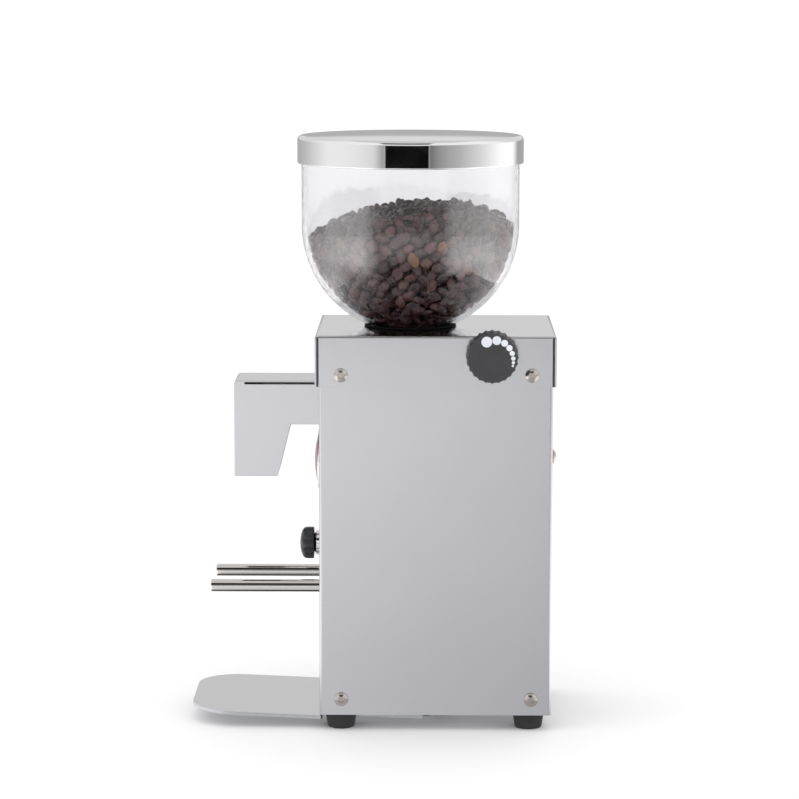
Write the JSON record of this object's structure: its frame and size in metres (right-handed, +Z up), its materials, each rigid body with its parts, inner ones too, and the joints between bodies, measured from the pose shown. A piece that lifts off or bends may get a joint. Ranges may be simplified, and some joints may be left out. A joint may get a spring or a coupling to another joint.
{
  "type": "burr coffee grinder",
  "caption": "Upright electric burr coffee grinder: folded steel casing, clear round-bottomed bean bowl with lid, forked filter-holder rest, start button, side grind-setting knob and catch tray.",
  "frame": {"origin": "on the surface that the feet stand on, under the middle of the overall outline; X = 0 is the casing's middle plane", "axes": "+Z up; -Y is the front, with the spout, button and fork; +X is the side with the grind-setting knob"},
  "size_m": [0.1458, 0.2276, 0.3684],
  "materials": {
    "stainless_sheet": "satin sheet steel with fine vertical grain",
    "tray_steel": "satin sheet steel, 2.2 mm, eased edge",
    "chrome": "mirror",
    "polished_rod": "polished, faint turning marks",
    "screw_steel": "bright, slightly worn",
    "zinc_plate": "dull zinc plate",
    "cast_aluminium": "cast, machined faces",
    "burr_steel": "hardened, ground",
    "laminations": "stacked thin sheets, lacquered",
    "copper_winding": "enamelled copper wire; brass stands in for copper",
    "brass": "machined",
    "clear_bowl": "clear glossy plastic or glass",
    "black_plastic": "moulded, low sheen",
    "black_rubber": "matt moulded rubber",
    "grey_plastic": "moulded",
    "red_enamel": "glossy red"
  },
  "bodies": {
    "housing": {"body_wrap": "stainless_sheet", "rear_panel": "stainless_sheet", "base_plate": "stainless_sheet", "top_cover": "stainless_sheet", "cover_screw_front_left": "screw_steel", "cover_screw_front_right": "screw_steel", "cover_screw_rear_left": "screw_steel", "cover_screw_rear_right": "screw_steel", "base_screw_front_left": "screw_steel", "base_screw_front_right": "screw_steel", "base_screw_rear_left": "screw_steel", "base_screw_rear_right": "screw_steel", "rear_screw_left": "screw_steel", "rear_screw_right": "screw_steel", "foot_front_left": "black_rubber", "foot_front_right": "black_rubber", "foot_rear_left": "black_rubber", "foot_rear_right": "black_rubber", "spout_cover": "stainless_sheet", "grounds_chute": "black_plastic", "badge_rim": "chrome", "badge_disc": "red_enamel", "button_collar": "chrome", "start_switch": "black_plastic", "fork_clamp": "zinc_plate", "fork_rod_left": "polished_rod", "fork_rod_right": "polished_rod", "tray_rail_left": "zinc_plate", "tray_rail_right": "zinc_plate", "chassis_frame": "zinc_plate", "motor_can": "zinc_plate", "motor_end_cap": "cast_aluminium", "bearing_lower": "burr_steel", "bearing_upper": "burr_steel", "stator_core": "laminations", "winding_lower": "copper_winding", "winding_upper": "copper_winding", "grinding_chamber": "cast_aluminium", "worm_bracket": "zinc_plate", "bowl_collar": "black_plastic", "capacitor": "grey_plastic", "terminal_block": "grey_plastic", "power_inlet": "black_plastic", "rocker_frame": "black_plastic"},
    "rotor": {"motor_shaft": "burr_steel", "rotor_core": "laminations", "cooling_fan": "black_plastic", "lower_burr_carrier": "cast_aluminium", "lower_burr": "burr_steel"},
    "adjusting_ring": {"adjusting_ring": "brass"},
    "burr_carrier": {"upper_burr_carrier": "cast_aluminium", "upper_burr": "burr_steel"},
    "knob": {"grind_knob": "black_plastic", "worm_shaft": "brass"},
    "button": {"start_button": "black_plastic"},
    "rocker": {"power_rocker": "black_plastic"},
    "tray": {"grounds_tray": "tray_steel"},
    "bowl": {"bean_bowl": "clear_bowl"},
    "lid": {"bowl_lid": "chrome"}
  },
  "joints": [
    {"name": "bowl_lift", "type": "slide", "parent": "housing", "child": "bowl", "axis": [0, 0, 1], "range_m": [0, 0.045]},
    {"name": "lid_lift", "type": "slide", "parent": "bowl", "child": "lid", "axis": [0, 0, 1], "range_m": [0, 0.05]},
    {"name": "knob_turn", "type": "hinge", "parent": "housing", "child": "knob", "pos_m": [0.06, 0.0728, 0.2358], "axis": [1, 0, 0], "range_deg": [-720, 2880]},
    {"name": "ring_turn", "type": "hinge", "parent": "housing", "child": "adjusting_ring", "pos_m": [0, 0.0223, 0.2358], "axis": [0, 0, 1], "range_deg": [-18, 72]},
    {"name": "burr_adjust", "type": "slide", "parent": "housing", "child": "burr_carrier", "axis": [0, 0, 1], "range_m": [-0.0002, 0.0008]},
    {"name": "spindle_spin", "type": "hinge", "parent": "housing", "child": "rotor", "pos_m": [0, 0.0223, 0.1216], "axis": [0, 0, 1], "continuous": true},
    {"name": "button_press", "type": "slide", "parent": "housing", "child": "button", "axis": [0, 1, 0], "range_m": [0, 0.003], "stiffness_N_per_m": 500},
    {"name": "rocker_tilt", "type": "hinge", "parent": "housing", "child": "rocker", "pos_m": [0, 0.108, 0.0766], "axis": [1, 0, 0], "range_deg": [-16, 0]},
    {"name": "tray_slide", "type": "slide", "parent": "housing", "child": "tray", "axis": [0, -0.9991, 0.0419], "range_m": [0, 0.07]}
  ],
  "couplings": [
    {"joint": "knob_turn", "follows": "ring_turn", "ratio": 40},
    {"joint": "burr_adjust", "follows": "ring_turn", "m_per_rad": 0.00063662}
  ]
}
